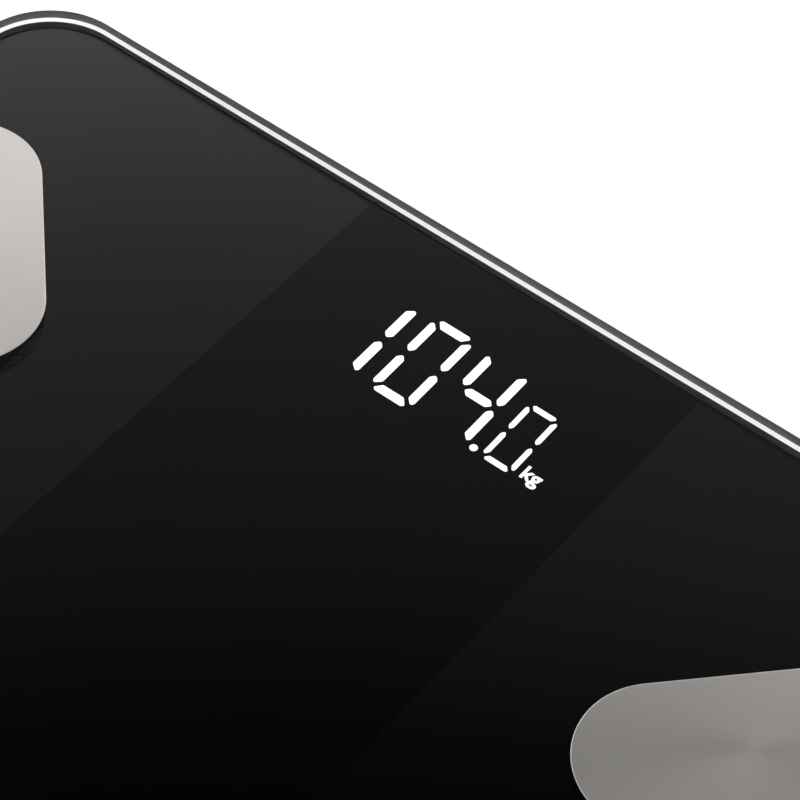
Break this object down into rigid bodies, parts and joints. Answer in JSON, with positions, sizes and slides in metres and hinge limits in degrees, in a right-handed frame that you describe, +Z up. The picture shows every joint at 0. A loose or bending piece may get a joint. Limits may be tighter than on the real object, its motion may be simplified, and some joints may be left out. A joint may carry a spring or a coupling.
{
  "type": "digital bathroom scale",
  "caption": "Square black glass digital bathroom scale with diagonal pill-shaped steel electrodes, a lit read-out under the glass and short round feet.",
  "frame": {"origin": "on the floor under the middle of the square platform", "axes": "+Z up, +Y towards the display edge, +X to the right of a person standing on it and facing the display"},
  "size_m": [0.3, 0.3, 0.0265],
  "materials": {
    "platform_glass": "polished clear float glass, ground edge",
    "black_print": "black print seen through the glass, matte on its back",
    "foam": "closed-cell foam",
    "electrode_steel": "fine circular brushing, low sheen",
    "tray_plastic": "fine spark-eroded texture",
    "load_cell_steel": "zinc plated",
    "bracket_plastic": "satin",
    "foot_plastic": "satin",
    "foot_rubber": "soft matte",
    "display_white": "satin white",
    "circuit_board": "solder mask",
    "component_black": "moulded epoxy",
    "radio_shield": "tin plated",
    "screw_steel": "zinc plated",
    "battery_jacket": "plain printed sleeve",
    "contact_nickel": "nickel plated",
    "lead_white": "PVC sleeve",
    "lead_black": "PVC sleeve",
    "lead_red": "PVC sleeve"
  },
  "bodies": {
    "platform": {"glass_platform": "platform_glass", "backing_film": "black_print", "bonding_tape": "foam", "display_gasket": "foam", "electrode_back_left": "electrode_steel", "electrode_back_right": "electrode_steel", "electrode_front_left": "electrode_steel", "electrode_front_right": "electrode_steel", "base_tray": "tray_plastic", "load_cell_back_left": "load_cell_steel", "load_cell_back_right": "load_cell_steel", "load_cell_front_left": "load_cell_steel", "load_cell_front_right": "load_cell_steel", "load_cell_bracket_back_left": "bracket_plastic", "load_cell_bracket_back_right": "bracket_plastic", "load_cell_bracket_front_left": "bracket_plastic", "load_cell_bracket_front_right": "bracket_plastic", "display_reflector": "display_white", "display_diffuser": "display_white", "lead_header": "display_white", "main_board": "circuit_board", "controller_chip": "component_black", "tact_switch": "component_black", "radio_module": "radio_shield", "board_screw_1": "screw_steel", "board_screw_2": "screw_steel", "board_screw_3": "screw_steel", "board_screw_4": "screw_steel", "battery_cell_1": "battery_jacket", "battery_cell_2": "battery_jacket", "battery_cell_3": "battery_jacket", "battery_contact_positive": "contact_nickel", "battery_contact_negative": "contact_nickel", "battery_link_back": "contact_nickel", "battery_link_front": "contact_nickel", "load_cell_lead_back_left": "lead_white", "load_cell_lead_back_right": "lead_white", "load_cell_lead_front_left": "lead_white", "load_cell_lead_front_right": "lead_white", "battery_lead_negative": "lead_black", "electrode_lead_back_left": "lead_black", "electrode_lead_back_right": "lead_black", "electrode_lead_front_left": "lead_black", "electrode_lead_front_right": "lead_black", "battery_lead_positive": "lead_red"},
    "foot_back_left": {"foot_cap_back_left": "foot_plastic", "foot_pad_back_left": "foot_rubber"},
    "foot_back_right": {"foot_cap_back_right": "foot_plastic", "foot_pad_back_right": "foot_rubber"},
    "foot_front_left": {"foot_cap_front_left": "foot_plastic", "foot_pad_front_left": "foot_rubber"},
    "foot_front_right": {"foot_cap_front_right": "foot_plastic", "foot_pad_front_right": "foot_rubber"},
    "unit_button": {"unit_button": "tray_plastic"},
    "battery_door": {"battery_door": "tray_plastic"}
  },
  "joints": [
    {"name": "foot_back_left_travel", "type": "slide", "parent": "platform", "child": "foot_back_left", "axis": [0, 0, 1], "range_m": [0, 0.0005], "stiffness_N_per_m": 800000},
    {"name": "foot_back_right_travel", "type": "slide", "parent": "platform", "child": "foot_back_right", "axis": [0, 0, 1], "range_m": [0, 0.0005], "stiffness_N_per_m": 800000},
    {"name": "foot_front_left_travel", "type": "slide", "parent": "platform", "child": "foot_front_left", "axis": [0, 0, 1], "range_m": [0, 0.0005], "stiffness_N_per_m": 800000},
    {"name": "foot_front_right_travel", "type": "slide", "parent": "platform", "child": "foot_front_right", "axis": [0, 0, 1], "range_m": [0, 0.0005], "stiffness_N_per_m": 800000},
    {"name": "unit_button_press", "type": "slide", "parent": "platform", "child": "unit_button", "axis": [0, 0, 1], "range_m": [0, 0.0008], "stiffness_N_per_m": 2000},
    {"name": "battery_door_hinge", "type": "hinge", "parent": "platform", "child": "battery_door", "pos_m": [0, 0.027, 0.00487], "axis": [1, 0, 0], "range_deg": [0, 80]}
  ]
}
